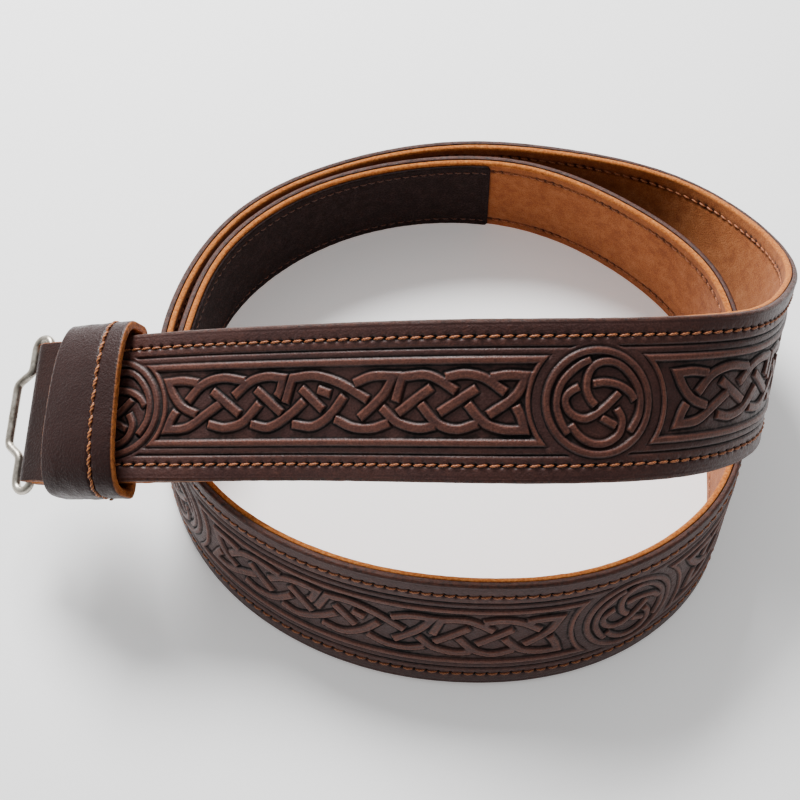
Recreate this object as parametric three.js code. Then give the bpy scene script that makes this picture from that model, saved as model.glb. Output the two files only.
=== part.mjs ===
// A leather kilt belt, coiled nearly two turns on its edge, with a wire hook loop at its buckle end.
// Millimetres, +Z up. The origin is on the surface that the belt stands on, below the middle of its box.
import * as THREE from 'three';

// Belt strap: two plies of leather, sewn together
const strap_width = 57;
const face_thickness = 2.3;
const lining_thickness = 2.3;
const ply_gap = 0.3;
const edge_bevel = 0.9;

// Raised border ribs of the face, measured from the middle of the strap
const rib_offset = 14.3;
const rib_width = 2.6;
const rib_height = 0.6;
const rib_slope = 0.6;

// Coil
const coil_radius = 120;

// Sections along the strap: how far apart they are, and how far the strap may turn or twist between two
const section_step = 12;
const section_turn = 7;
const section_twist = 2.6;
const width_strips = 5;

// Fold at the buckle end, which wraps the bar of the hook loop
const fold_thickness = 2.2;
const fold_clearance = 0.5;
const fold_tail_length = 66;
const fold_width = 56.6;
const fold_taper = 9;
const fold_step = 1.6;

// Hook loop: round wire
const wire_diameter = 3.4;
const wire_sides = 10;
const bar_clearance = 0.5;
const loop_gap = 2.1;
const loop_step_out = 7.2;
const loop_step_length = 25;
const loop_step_slope = 4.8;
const loop_overhang = 3.1;
const loop_sides = 72;

// Keeper: a stiff leather loop round the strap
const keeper_wall = 3.2;
const keeper_width = 29.5;
const keeper_start = 20.3;
const keeper_front_room = 6.2;
const keeper_back_room = 0.8;
const keeper_side_room = 2.4;
const keeper_sides = 40;
const keeper_front_squareness = 2.7;
const keeper_back_squareness = 8;

// Fastening patch on the lining at the tip
const patch_length = 209;
const patch_thickness = 1.2;
const patch_inset = 1.2;
const patch_gap = 0.3;
const patch_tip_inset = 2;

// The middle of the strap from the buckle end to the tip. x and y are shares of coil_radius, lift is the
// height of the strap's lower edge as a share of strap_width, lean is how far the upper edge leans towards
// the inside of the coil, in degrees.
const route_rows = [
  { x: -1.228, y: -0.384, lift: 0.757, lean: 66 },
  { x: -0.92, y: -0.456, lift: 1.041, lean: 68 },
  { x: -0.4, y: -0.52, lift: 1.19, lean: 53 },
  { x: 0.2, y: -0.63, lift: 1.54, lean: 52 },
  { x: 0.68, y: -0.62, lift: 1.53, lean: 52 },
  { x: 1.075, y: -0.465, lift: 1.12, lean: 27 },
  { x: 1.245, y: -0.16, lift: 0.64, lean: -1 },
  { x: 1.29, y: 0.26, lift: 0.22, lean: -17 },
  { x: 1.105, y: 0.62, lift: 0.03, lean: -16 },
  { x: 0.705, y: 0.87, lift: 0, lean: 3 },
  { x: 0.275, y: 0.96, lift: 0, lean: 11 },
  { x: -0.255, y: 0.85, lift: 0, lean: 13 },
  { x: -0.63, y: 0.57, lift: 0, lean: 10 },
  { x: -0.82, y: 0.15, lift: 0, lean: 8 },
  { x: -0.815, y: -0.31, lift: 0, lean: 5 },
  { x: -0.62, y: -0.695, lift: 0, lean: 8 },
  { x: -0.23, y: -0.965, lift: 0, lean: 14 },
  { x: 0.19, y: -1.055, lift: 0, lean: 16 },
  { x: 0.725, y: -0.965, lift: 0, lean: 11 },
  { x: 1.035, y: -0.695, lift: 0, lean: 5 },
  { x: 1.16, y: -0.255, lift: 0, lean: 0 },
  { x: 1.155, y: 0.255, lift: 0, lean: 5 },
  { x: 0.895, y: 0.62, lift: 0, lean: 11 },
  { x: 0.48, y: 0.865, lift: 0, lean: 14 },
  { x: 0.03, y: 0.88, lift: 0, lean: 16 },
  { x: -0.405, y: 0.7, lift: 0, lean: 13 },
  { x: -0.69, y: 0.365, lift: 0, lean: 9 },
  { x: -0.785, y: -0.12, lift: 0, lean: 4 },
];

const UP = new THREE.Vector3(0, 0, 1);
const strap_thickness = face_thickness + ply_gap + lining_thickness;
const half_width = strap_width / 2;
const half_thickness = strap_thickness / 2;

// A natural cubic spline through the rows of values at the given knots
function cubicSpline(knots, rows) {
  const count = knots.length;
  const channels = rows[0].length;
  const bends = rows.map(() => new Array(channels).fill(0));
  for (let c = 0; c < channels; c += 1) {
    const upper = new Array(count).fill(0);
    const right = new Array(count).fill(0);
    for (let i = 1; i < count - 1; i += 1) {
      const before = knots[i] - knots[i - 1];
      const after = knots[i + 1] - knots[i];
      const jump = (rows[i + 1][c] - rows[i][c]) / after - (rows[i][c] - rows[i - 1][c]) / before;
      const pivot = 2 * (before + after) - before * upper[i - 1];
      upper[i] = after / pivot;
      right[i] = (6 * jump - before * right[i - 1]) / pivot;
    }
    for (let i = count - 2; i > 0; i -= 1) {
      bends[i][c] = right[i] - upper[i] * bends[i + 1][c];
    }
  }
  return (t) => {
    let i = 0;
    while (i < count - 2 && t > knots[i + 1]) i += 1;
    const span = knots[i + 1] - knots[i];
    const a = (knots[i + 1] - t) / span;
    const b = (t - knots[i]) / span;
    const value = [];
    const slope = [];
    for (let c = 0; c < channels; c += 1) {
      const bow = (a ** 3 - a) * bends[i][c] + (b ** 3 - b) * bends[i + 1][c];
      const turn = (3 * b ** 2 - 1) * bends[i + 1][c] - (3 * a ** 2 - 1) * bends[i][c];
      value.push(a * rows[i][c] + b * rows[i + 1][c] + (bow * span ** 2) / 6);
      slope.push((rows[i + 1][c] - rows[i][c]) / span + (turn * span) / 6);
    }
    return { value, slope };
  };
}

// The strap's middle line, measured along its length
function makeRoute() {
  const rows = route_rows.map((row) => {
    const lean = THREE.MathUtils.degToRad(row.lean);
    const rise = half_width * Math.cos(lean) + half_thickness * Math.abs(Math.sin(lean));
    return [row.x * coil_radius, row.y * coil_radius, row.lift * strap_width + rise, lean];
  });
  const knots = [0];
  for (let i = 1; i < rows.length; i += 1) {
    const [x, y, z] = rows[i].map((value, c) => value - rows[i - 1][c]);
    knots.push(knots[i - 1] + Math.hypot(x, y, z));
  }
  const spline = cubicSpline(knots, rows);
  const samples = 2000;
  const lengths = [0];
  const reach = knots[knots.length - 1];
  let last = spline(0).value;
  for (let i = 1; i <= samples; i += 1) {
    const next = spline((reach * i) / samples).value;
    lengths.push(lengths[i - 1] + Math.hypot(next[0] - last[0], next[1] - last[1], next[2] - last[2]));
    last = next;
  }
  const length = lengths[samples];
  const knotAt = (s) => {
    let low = 0;
    let high = samples;
    while (high - low > 1) {
      const middle = (low + high) >> 1;
      if (lengths[middle] <= s) low = middle;
      else high = middle;
    }
    const share = (s - lengths[low]) / (lengths[high] - lengths[low]);
    return (reach * (low + share)) / samples;
  };
  return { length, knotAt, spline };
}

const route = makeRoute();

// Place and directions of the strap at a length s from its buckle end. Past either end it goes on straight.
// along follows the strap, across goes from its lower to its upper edge, inward goes from face to lining.
function placeAt(s) {
  const held = THREE.MathUtils.clamp(s, 0, route.length);
  const { value, slope } = route.spline(route.knotAt(held));
  const along = new THREE.Vector3(slope[0], slope[1], slope[2]).normalize();
  const upright = UP.clone().addScaledVector(along, -UP.dot(along)).normalize();
  const side = new THREE.Vector3().crossVectors(along, upright);
  const across = upright.multiplyScalar(Math.cos(value[3])).addScaledVector(side, -Math.sin(value[3]));
  const inward = new THREE.Vector3().crossVectors(across, along);
  const point = new THREE.Vector3(value[0], value[1], value[2]).addScaledVector(along, s - held);
  return { point, along, across, inward };
}

// A point given by its length along the strap, its height across it and its depth behind the middle
function strapPoint(s, height, depth) {
  const { point, across, inward } = placeAt(s);
  return point.addScaledVector(across, height).addScaledVector(inward, depth);
}

// The lengths along the strap at which pieces have their sections. All pieces share them.
function makeStations() {
  const least_along = Math.cos(THREE.MathUtils.degToRad(section_turn));
  const most_twist = Math.sin(THREE.MathUtils.degToRad(section_twist));
  const stations = [0];
  while (stations[stations.length - 1] < route.length) {
    const here = stations[stations.length - 1];
    const start = placeAt(here);
    let step = section_step;
    const tooFar = () => {
      const end = placeAt(here + step);
      const twist = Math.abs(end.across.dot(start.inward));
      return end.along.dot(start.along) < least_along || twist > most_twist;
    };
    while (tooFar()) step *= 0.9;
    stations.push(here + step);
  }
  return stations;
}

const stations = makeStations();

// Where a piece between two ends has its sections. One too near an end is left out.
function stationsBetween(from, to) {
  const room = section_step / 5;
  return [from, ...stations.filter((s) => s > from + room && s < to - room), to];
}

// A stretch of the strap as a curve that carries the strap's own directions
class StrapLine extends THREE.Curve {
  constructor(stations) {
    super();
    this.stations = stations;
  }

  lengthAt(t) {
    const place = t * (this.stations.length - 1);
    const before = Math.min(Math.floor(place), this.stations.length - 2);
    return THREE.MathUtils.lerp(this.stations[before], this.stations[before + 1], place - before);
  }

  getPoint(t) {
    return placeAt(this.lengthAt(t)).point;
  }

  getPointAt(t) {
    return this.getPoint(t);
  }

  computeFrenetFrames(segments) {
    const frames = { tangents: [], normals: [], binormals: [] };
    for (let i = 0; i <= segments; i += 1) {
      const { along, across, inward } = placeAt(this.lengthAt(i / segments));
      frames.tangents.push(along);
      frames.normals.push(inward);
      frames.binormals.push(across);
    }
    return frames;
  }
}

// A body of one section, in depth and height, drawn along a stretch of the strap
function alongStrap(section, from, to) {
  const path = new StrapLine(stationsBetween(from, to));
  const steps = path.stations.length - 1;
  return new THREE.ExtrudeGeometry(section, { steps, bevelEnabled: false, extrudePath: path });
}

// Points at one depth, spread evenly over the height from low to high
function rowOfPoints(depth, low, high) {
  const points = [];
  for (let i = 0; i <= width_strips; i += 1) {
    points.push([depth, THREE.MathUtils.lerp(low, high, i / width_strips)]);
  }
  return points;
}

function shapeOf(points) {
  return new THREE.Shape(points.map(([x, y]) => new THREE.Vector2(x, y)));
}

function faceSection() {
  const outer = -half_thickness;
  const inner = outer + face_thickness;
  const ribFoot = rib_width / 2 + rib_slope;
  const rib = (middle) => [
    [outer, middle + ribFoot],
    [outer - rib_height, middle + rib_width / 2],
    [outer - rib_height, middle - rib_width / 2],
    [outer, middle - ribFoot],
  ];
  return shapeOf([
    ...rowOfPoints(inner, -half_width, half_width),
    [outer + edge_bevel, half_width],
    [outer, half_width - edge_bevel],
    ...rib(rib_offset),
    ...rib(-rib_offset),
    [outer, -half_width + edge_bevel],
    [outer + edge_bevel, -half_width],
  ]);
}

function liningSection() {
  const inner = half_thickness;
  const outer = inner - lining_thickness;
  return shapeOf([
    [inner - edge_bevel, -half_width],
    ...rowOfPoints(inner, -half_width + edge_bevel, half_width - edge_bevel),
    [inner - edge_bevel, half_width],
    ...rowOfPoints(outer, half_width, -half_width),
  ]);
}

function patchSection() {
  const outer = half_thickness + patch_gap;
  const inner = outer + patch_thickness;
  const reach = half_width - patch_inset;
  return shapeOf([
    ...rowOfPoints(inner, -reach, reach),
    ...rowOfPoints(outer, reach, -reach),
  ]);
}

// A rounded oval whose front half, towards negative depth, stands further out than its back half
function keeperOval(front, back, half_height) {
  const points = [];
  for (let i = 0; i < keeper_sides; i += 1) {
    const turn = (2 * Math.PI * (i + 0.5)) / keeper_sides;
    const in_front = Math.cos(turn) < 0;
    const power = 2 / (in_front ? keeper_front_squareness : keeper_back_squareness);
    const round = (value) => Math.sign(value) * Math.abs(value) ** power;
    const reach = in_front ? front : back;
    points.push(new THREE.Vector2(round(Math.cos(turn)) * reach, round(Math.sin(turn)) * half_height));
  }
  return points;
}

function keeperSection() {
  const front = half_thickness + rib_height + keeper_front_room;
  const back = half_thickness + fold_clearance + fold_thickness + keeper_back_room;
  const half_height = half_width + keeper_side_room;
  const outline = keeperOval(front + keeper_wall, back + keeper_wall, half_height + keeper_wall);
  const section = new THREE.Shape(outline);
  section.holes.push(new THREE.Path(keeperOval(front, back, half_height)));
  return section;
}

// The folded end: a leather tongue flush with the face. It wraps the bar of the hook loop and runs back
// behind the lining, so its profile lies in the plane of length and depth.
const bar_radius = wire_diameter / 2;
const fold_radius = bar_radius + bar_clearance + fold_thickness / 2;
const bar_station = fold_radius + fold_thickness / 2;
const bar_depth = fold_radius - half_thickness + fold_thickness / 2;
const fold_seam = keeper_start + keeper_width / 2;

function foldProfile() {
  const profile = new THREE.Path();
  const tail_depth = half_thickness + fold_clearance + fold_thickness / 2;
  profile.moveTo(fold_seam, bar_depth - fold_radius);
  profile.lineTo(bar_station, bar_depth - fold_radius);
  profile.absarc(bar_station, bar_depth, fold_radius, -Math.PI / 2, -1.5 * Math.PI, true);
  profile.lineTo(bar_station + fold_taper, tail_depth);
  profile.lineTo(fold_tail_length, tail_depth);
  return profile;
}

class FoldLine extends THREE.Curve {
  constructor(profile) {
    super();
    this.profile = profile;
  }

  getPoint(t) {
    const { x, y } = this.profile.getPoint(t);
    return strapPoint(x, 0, y);
  }

  getPointAt(t) {
    return this.getPoint(t);
  }

  computeFrenetFrames(segments) {
    const frames = { tangents: [], normals: [], binormals: [] };
    for (let i = 0; i <= segments; i += 1) {
      const t = i / segments;
      const heading = this.profile.getTangent(t);
      const { along, across, inward } = placeAt(this.profile.getPoint(t).x);
      const tangent = along.multiplyScalar(heading.x).addScaledVector(inward, heading.y).normalize();
      frames.tangents.push(tangent);
      frames.normals.push(new THREE.Vector3().crossVectors(across, tangent));
      frames.binormals.push(across);
    }
    return frames;
  }
}

function endFold() {
  const profile = foldProfile();
  const steps = Math.round(profile.getLength() / fold_step);
  const section = shapeOf([
    [-fold_thickness / 2, -fold_width / 2],
    [fold_thickness / 2, -fold_width / 2],
    [fold_thickness / 2, fold_width / 2],
    [-fold_thickness / 2, fold_width / 2],
  ]);
  return new THREE.ExtrudeGeometry(section, { steps, bevelEnabled: false, extrudePath: new FoldLine(profile) });
}

// The hook loop: one closed wire. Its bar lies in the fold, its outer side hugs the fold and steps out in
// the middle, where the buckle's hook goes in. Drawn flat, in length from the bar and height on the strap.
function hookLoopOutline() {
  const near = -(bar_station + bar_radius + loop_gap);
  const far = near - loop_step_out;
  const end = fold_width / 2 + loop_overhang;
  const turn = -near / 2;
  const straight = end - turn;
  const outline = new THREE.Path();
  outline.moveTo(0, -straight);
  outline.lineTo(0, straight);
  outline.absarc(near / 2, straight, turn, 0, Math.PI, false);
  outline.lineTo(near, loop_step_length / 2 + loop_step_slope);
  outline.lineTo(far, loop_step_length / 2);
  outline.lineTo(far, -loop_step_length / 2);
  outline.lineTo(near, -loop_step_length / 2 - loop_step_slope);
  outline.lineTo(near, -straight);
  outline.absarc(near / 2, -straight, turn, Math.PI, 2 * Math.PI, false);
  return outline;
}

function hookLoop() {
  const { point, along, across, inward } = placeAt(bar_station);
  const axis = point.addScaledVector(inward, bar_depth);
  const outline = hookLoopOutline();
  const corners = outline.getSpacedPoints(loop_sides).slice(0, -1);
  const wire = corners.map(({ x, y }) => axis.clone().addScaledVector(along, x).addScaledVector(across, y));
  const path = new THREE.CatmullRomCurve3(wire, true);
  return new THREE.TubeGeometry(path, loop_sides, bar_radius, wire_sides, true);
}

function leather(color, roughness) {
  return new THREE.MeshStandardMaterial({ color, roughness, metalness: 0 });
}

const dark_leather = leather(0x35211d, 0.5);
const fold_leather = leather(0x2f1c19, 0.55);
const keeper_leather = leather(0x33201d, 0.55);
const tan_suede = leather(0xa8622f, 0.95);
const patch_cloth = leather(0x1c1412, 0.9);
const nickel = new THREE.MeshStandardMaterial({ color: 0xa09a90, roughness: 0.35, metalness: 1 });

const belt = new THREE.Group();

function addPiece(name, geometry, material) {
  const piece = new THREE.Mesh(geometry, material);
  piece.name = name;
  belt.add(piece);
}

const lining_start = bar_station + bar_radius + bar_clearance + ply_gap;
const patch_end = route.length - patch_tip_inset;

addPiece('strap_face', alongStrap(faceSection(), fold_seam + ply_gap, route.length), dark_leather);
addPiece('strap_lining', alongStrap(liningSection(), lining_start, route.length), tan_suede);
addPiece('end_fold', endFold(), fold_leather);
addPiece('hook_loop', hookLoop(), nickel);
addPiece('keeper', alongStrap(keeperSection(), keeper_start, keeper_start + keeper_width), keeper_leather);
addPiece('tip_patch', alongStrap(patchSection(), patch_end - patch_length, patch_end), patch_cloth);

// The belt stands on z = 0, with the middle of its box over the origin
const box = new THREE.Box3().setFromObject(belt, true);
const middle = box.getCenter(new THREE.Vector3());
belt.position.set(-middle.x, -middle.y, -box.min.z);

export default belt;
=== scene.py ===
"""Looks of a coiled leather kilt belt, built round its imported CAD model.

Sizes are millimetres in the coil's own frame. make_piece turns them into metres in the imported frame.
"""
import math

import bpy
import numpy as np
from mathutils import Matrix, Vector


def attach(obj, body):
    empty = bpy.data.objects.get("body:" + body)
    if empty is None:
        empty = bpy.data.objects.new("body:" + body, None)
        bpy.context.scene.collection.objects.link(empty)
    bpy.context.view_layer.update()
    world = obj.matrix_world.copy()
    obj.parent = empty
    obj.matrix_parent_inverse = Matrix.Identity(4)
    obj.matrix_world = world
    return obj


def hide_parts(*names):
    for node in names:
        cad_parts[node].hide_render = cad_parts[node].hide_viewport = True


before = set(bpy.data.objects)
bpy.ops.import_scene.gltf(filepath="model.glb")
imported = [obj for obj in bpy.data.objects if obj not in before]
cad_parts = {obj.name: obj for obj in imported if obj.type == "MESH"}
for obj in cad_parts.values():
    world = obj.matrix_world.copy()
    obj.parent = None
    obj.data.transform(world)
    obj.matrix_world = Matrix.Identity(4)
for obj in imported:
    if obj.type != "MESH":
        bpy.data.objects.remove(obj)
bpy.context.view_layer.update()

MM = 0.001

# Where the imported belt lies, measured from the middle of the coil
BELT_SHIFT = np.array([-3.172, 6.813, 0.144])

# Strap
STRAP_WIDTH = 57.0
HALF_WIDTH = STRAP_WIDTH / 2
PLY = 2.3
PLY_GAP = 0.3
HALF_THICKNESS = (2 * PLY + PLY_GAP) / 2
COIL_RADIUS = 120.0
FACE_START = 35.35
LINING_START = 6.9

# Carved face, measured across from the middle line of the strap
RIB_OFFSET = 14.3
RIB_WIDTH = 2.9
RIB_HEIGHT = 0.6
RIB_SLOPE = 0.8
FIELD_DEPTH = 0.35
FIELD_SLOPE = 0.9
GROOVE_OFFSET = 18.6
GROOVE_DEPTH = 0.75
GROOVE_WIDTH = 0.45
CREASE_OFFSET = 26.6
CREASE_DEPTH = 0.14
CREASE_WIDTH = 0.35
RIBBON_WIDTH = 3.8
LOOP_WIDTH = 3.15
RIBBON_HEIGHT = 0.9
RIBBON_BEVEL = 0.75
RIBBON_TAIL = 0.4

# The sunk lines beside ribbons, ribs and rings: depth and distance from the form's edge, and their width
RIBBON_MOAT = (0.22, 0.2)
RIB_MOAT = (0.35, 0.15)
RING_MOAT = (0.26, 0.2)
MOAT_WIDTH = 0.34

# Sections of the two plies: fine columns over the carving, the border beside it, and rounded edges
BAND_REACH = 19.8
BORDER_START = 20.25
BORDER_STEP = 0.45
BORDER_MARGIN = 1.2
BACK_REACH = 24
NAP_REACH = 26.7
LINING_STEP = 2.1
FACE_EDGE_RADIUS = 1.1
FACE_BACK_RADIUS = 0.3
LINING_EDGE_RADIUS = 1.15
LINING_BACK_RADIUS = 0.35

# Wear lightens the relief where it stands above its surroundings, and painted shade darkens its grooves,
# moats and stitch holes where it sinks below them, taken over a near and a wide reach
WEAR_AND_SHADE_REACHES = (0.8, 3.2)
WEAR_AND_SHADE_SHARES = (0.8, 0.5)
WEAR_AND_SHADE_MARGIN = 3.6

# Uneven surfaces. Each layer is its height, the size of its cells and its seed
NOISE_CELLS = 64
FACE_GRAIN = [(0.05, 7, 3), (0.025, 1.7, 5)]
SUEDE_NAP = [(0.05, 4, 21), (0.04, 1.9, 22)]
KEEPER_SKIN = [(0.06, 5, 31), (0.02, 1.3, 32)]
PATCH_PILE = [(0.07, 0.9, 61), (0.05, 2.4, 62)]

# Stitching
STITCH_OFFSET = 22.3
STITCH_PITCH = 4.5
STITCH_END_ROOM = 4
STITCH_SLANT = 7.0
SLANT_SPREAD = 1.5
ROW_SPREAD = 0.06
THREAD_GAP = 1
FACE_THREAD_RISE = 0.05
LINING_THREAD_SINK = 0.02
PATCH_THREAD_SINK = 0.25
HOLE_LENGTH = 0.7
HOLE_HEIGHT = 0.85
HOLE_SHIFT = 0.15
FACE_HOLE = 1.05
LINING_HOLE = 0.6
GUTTER_DEPTH = 0.12
GUTTER_REACH = 1.3
LINING_GUTTER_DEPTH = 0.18

# Roundels: places along the strap, and sizes
ROUNDELS = [43.7, 225.6, 424.6, 623.6, 822.6, 1021.6, 1220.6, 1419.6]
ROUNDEL_DROP = -0.6
RING_RADIUS = 17.9
RING_WIDTH = 2.9

# The concave ends of the panels' frames, measured from the middle of each roundel
FRAME_RADII = [21.3] + [24.0] * 7
FRAME_END_WIDTH = 2.0

# Where a panel's knots begin and end, measured from the middle of the roundel before it
FIRST_PANEL_ENDS = (20.1, 159.0)
LATER_PANEL_ENDS = (26.8, 172.2)

# Folded end, with its section's rim and the creases that run slanting over its bend
FOLD_THICKNESS = 2.2
FOLD_WIDTH = 56.6
FOLD_TAIL = 66.0
FOLD_CLEARANCE = 0.5
FOLD_EDGE_RADIUS = 1.1
FOLD_EDGE_DEPTH = 0.8
FLAP_POINTS = 30
FOLD_CREASE_DEPTH = 0.55
FOLD_CREASES = (15.5, 12.8, -14.0)

# Keeper
KEEPER_START = 20.3
KEEPER_LENGTH = 29.5
KEEPER_WALL = 3.2
KEEPER_FRONT_ROOM = 6.2
KEEPER_BACK_ROOM = 0.8
KEEPER_SIDE_ROOM = 2.4
KEEPER_RIM = 1.2
KEEPER_RIM_DEPTH = 0.9
KEEPER_STITCH_INSET = 8.7
KEEPER_STITCH_PITCH = 4.9
KEEPER_STITCH_SLANT = -9
KEEPER_STITCH_SINK = 0.12
KEEPER_FRONT_POWER = 2.7
KEEPER_BACK_POWER = 8
KEEPER_ROUND = 160
KEEPER_FINE_ROUND = 2400
OVAL_SAMPLES = 1200
KEEPER_FRONT = HALF_THICKNESS + RIB_HEIGHT + KEEPER_FRONT_ROOM
KEEPER_BACK = HALF_THICKNESS + FOLD_CLEARANCE + FOLD_THICKNESS + KEEPER_BACK_ROOM
KEEPER_HALF_HEIGHT = HALF_WIDTH + KEEPER_SIDE_ROOM

# Wire of the hook loop, and the roll of the fold round its bar
BAR_RADIUS = 1.7
LOOP_GAP = 2.1
LOOP_STEP_OUT = 7.2
LOOP_STEP_INNER = 12.5
LOOP_STEP_OUTER = 17.3
LOOP_OVERHANG = 3.1
LOOP_POINTS = 360
LOOP_SIDES = 20
LOOP_SOFTENING = 26
FOLD_RADIUS = BAR_RADIUS + FOLD_CLEARANCE + FOLD_THICKNESS / 2
BAR_STATION = FOLD_RADIUS + FOLD_THICKNESS / 2
BAR_DEPTH = FOLD_RADIUS - HALF_THICKNESS + FOLD_THICKNESS / 2
FOLD_SEAM = KEEPER_START + KEEPER_LENGTH / 2

# Fastening patch
PATCH_LENGTH = 209.0
PATCH_THICKNESS = 1.2
PATCH_GAP = 0.3
PATCH_END_ROOM = 2
PATCH_SIDE_ROOM = 1.2
PATCH_CORNER = 2.2
PATCH_SEAM_INSET = 4.6
PATCH_SEAM_DEPTH = 0.35

# The middle of the strap from the buckle end to the tip, as in the CAD. Each row is x and y as shares of
# the coil's radius, lift as a share of the strap's width, and lean in degrees.
ROUTE = [
    (-1.228, -0.384, 0.757, 66), (-0.92, -0.456, 1.041, 68), (-0.4, -0.52, 1.19, 53), (0.2, -0.63, 1.54, 52),
    (0.68, -0.62, 1.53, 52), (1.075, -0.465, 1.12, 27), (1.245, -0.16, 0.64, -1), (1.29, 0.26, 0.22, -17),
    (1.105, 0.62, 0.03, -16), (0.705, 0.87, 0, 3), (0.275, 0.96, 0, 11), (-0.255, 0.85, 0, 13),
    (-0.63, 0.57, 0, 10), (-0.82, 0.15, 0, 8), (-0.815, -0.31, 0, 5), (-0.62, -0.695, 0, 8),
    (-0.23, -0.965, 0, 14), (0.19, -1.055, 0, 16), (0.725, -0.965, 0, 11), (1.035, -0.695, 0, 5),
    (1.16, -0.255, 0, 0), (1.155, 0.255, 0, 5), (0.895, 0.62, 0, 11), (0.48, 0.865, 0, 14),
    (0.03, 0.88, 0, 16), (-0.405, 0.7, 0, 13), (-0.69, 0.365, 0, 9), (-0.785, -0.12, 0, 4),
]

# One knot panel. Each row is a ribbon that shows between two crossings: its arcs meet in pointed corners.
# x is measured from the middle of the roundel before it, for the first panel.
PANEL = [
    [[(33.8, -3.6), (28.0, -0.6), (24.5, 3.9), (22.5, 8.7)], [(22.5, 8.7), (28.7, 9.1), (34.5, 8.0)]],
    [[(25.8, -2.3), (24.0, -5.2), (22.3, -9.2)], [(22.3, -9.2), (30.0, -8.5), (37.0, -4.0), (43.2, 0.2)]],
    [[(30.3, 1.3), (36.2, 7.4), (44.3, 9.8), (53.2, 8.4)]],
    [[(40.2, 4.9), (50.7, -3.7)]],
    [[(38.5, -7.3), (45.0, -8.7), (52.2, -6.6), (58.8, -0.1)]],
    [[(48.8, 3.0), (55.2, 8.0), (62.2, 9.9), (68.7, 9.2)], [(68.7, 9.2), (67.2, 4.3), (66.0, 2.5)]],
    [[(57.7, 5.2), (67.5, -3.6)]],
    [[(55.2, -7.4), (62.3, -8.7), (70.5, -4.4), (76.7, 0.6)]],
    [[(69.2, 0.2), (71.0, 5.2), (72.5, 9.1)], [(72.5, 9.1), (81.5, 9.8), (91.4, 6.8), (101.7, 0.8)]],
    [[(75.8, 5.2), (84.0, -2.5)]],
    [[(82.5, 4.8), (87.2, 3.1)]],
    [[(71.7, -7.6), (79.8, -8.5), (86.9, -4.4), (92.6, 2.2)]],
    [[(88.8, -5.9), (95.4, -8.9), (103.1, -9.3), (109.4, -7.3)]],
    [[(96.8, 6.7), (103.8, 9.2), (111.8, 9.1)], [(111.8, 9.1), (107.3, 2.2), (98.4, -5.6)]],
    [[(106.9, -2.0), (112.3, -7.0), (120.1, -9.3), (126.1, -8.3)]],
    [[(112.8, -3.9), (125.1, 4.9)]],
    [[(112.1, 0.2), (113.6, 5.1), (114.9, 8.8)], [(114.9, 8.8), (123.1, 9.4), (128.6, 7.2), (133.7, 3.6)]],
    [[(127.8, -3.9), (140.7, 4.4)]],
    [[(121.1, -0.8), (126.8, -7.4), (133.6, -9.7), (141.1, -7.6)]],
    [[(130.2, 8.4), (136.8, 9.6), (143.6, 8.0), (150.4, 3.1)]],
    [[(137.6, -0.9), (142.7, -7.0), (149.3, -9.7), (156.7, -9.9)],
     [(156.7, -9.9), (155.8, -5.8), (153.9, -1.6)]],
    [[(145.7, 8.2), (151.4, 9.1), (157.7, 8.7)], [(157.7, 8.7), (153.6, 1.7), (144.7, -4.7)]],
]

# The interlaced loops inside a roundel, measured from its middle
ROUNDEL_LOOPS = [
    [[(-2.4, 14.7), (-5.5, 13.4), (-8.6, 11.2), (-11.5, 8.3), (-13.3, 5.2), (-14.2, 1.6), (-14.3, -1.7),
      (-13.5, -5.0), (-12.2, -8.1), (-10.6, -10.6)]],
    [[(-1.1, -1.0), (-2.9, 1.2), (-3.9, 4.1), (-3.9, 7.0), (-3.2, 9.8), (-1.6, 12.3), (0.9, 13.7),
      (4.0, 14.1), (7.3, 13.2), (10.2, 11.0), (12.6, 7.8), (14.3, 4.5), (15.0, 1.2), (14.9, -2.1),
      (14.1, -5.2), (12.6, -7.9), (10.9, -10.3)]],
    [[(-6.7, 5.3), (-9.0, 4.2), (-10.9, 2.5), (-11.5, 0.5), (-10.8, -2.0), (-8.9, -4.2), (-6.4, -5.4),
      (-3.8, -5.4), (-0.4, -3.8), (3.1, -1.1), (6.2, 1.9), (7.4, 3.1)]],
    [[(-1.7, 6.5), (2.2, 6.9), (5.8, 6.3), (8.9, 5.0), (11.3, 3.2), (13.0, 0.6)]],
    [[(-9.6, -7.6), (-7.5, -10.7), (-4.9, -12.9), (-2.0, -14.2), (1.1, -14.4), (4.0, -13.5), (6.7, -11.4),
      (8.1, -8.3), (8.1, -5.5), (6.5, -2.4)]],
    [[(1.0, -5.3), (6.0, -8.2)]],
]


def natural_bends(knots, rows):
    """Second derivatives of a natural cubic spline through rows at knots."""
    count = len(knots)
    matrix = np.zeros((count, count))
    matrix[0, 0] = matrix[-1, -1] = 1
    right = np.zeros(rows.shape)
    for i in range(1, count - 1):
        before = knots[i] - knots[i - 1]
        after = knots[i + 1] - knots[i]
        matrix[i, i - 1:i + 2] = before, 2 * (before + after), after
        right[i] = 6 * ((rows[i + 1] - rows[i]) / after - (rows[i] - rows[i - 1]) / before)
    return np.linalg.solve(matrix, right)


def lengths_along(line):
    """Length from the first point of a line to each of its points."""
    return np.r_[0, np.cumsum(np.linalg.norm(np.diff(line, axis=0), axis=1))]


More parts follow.
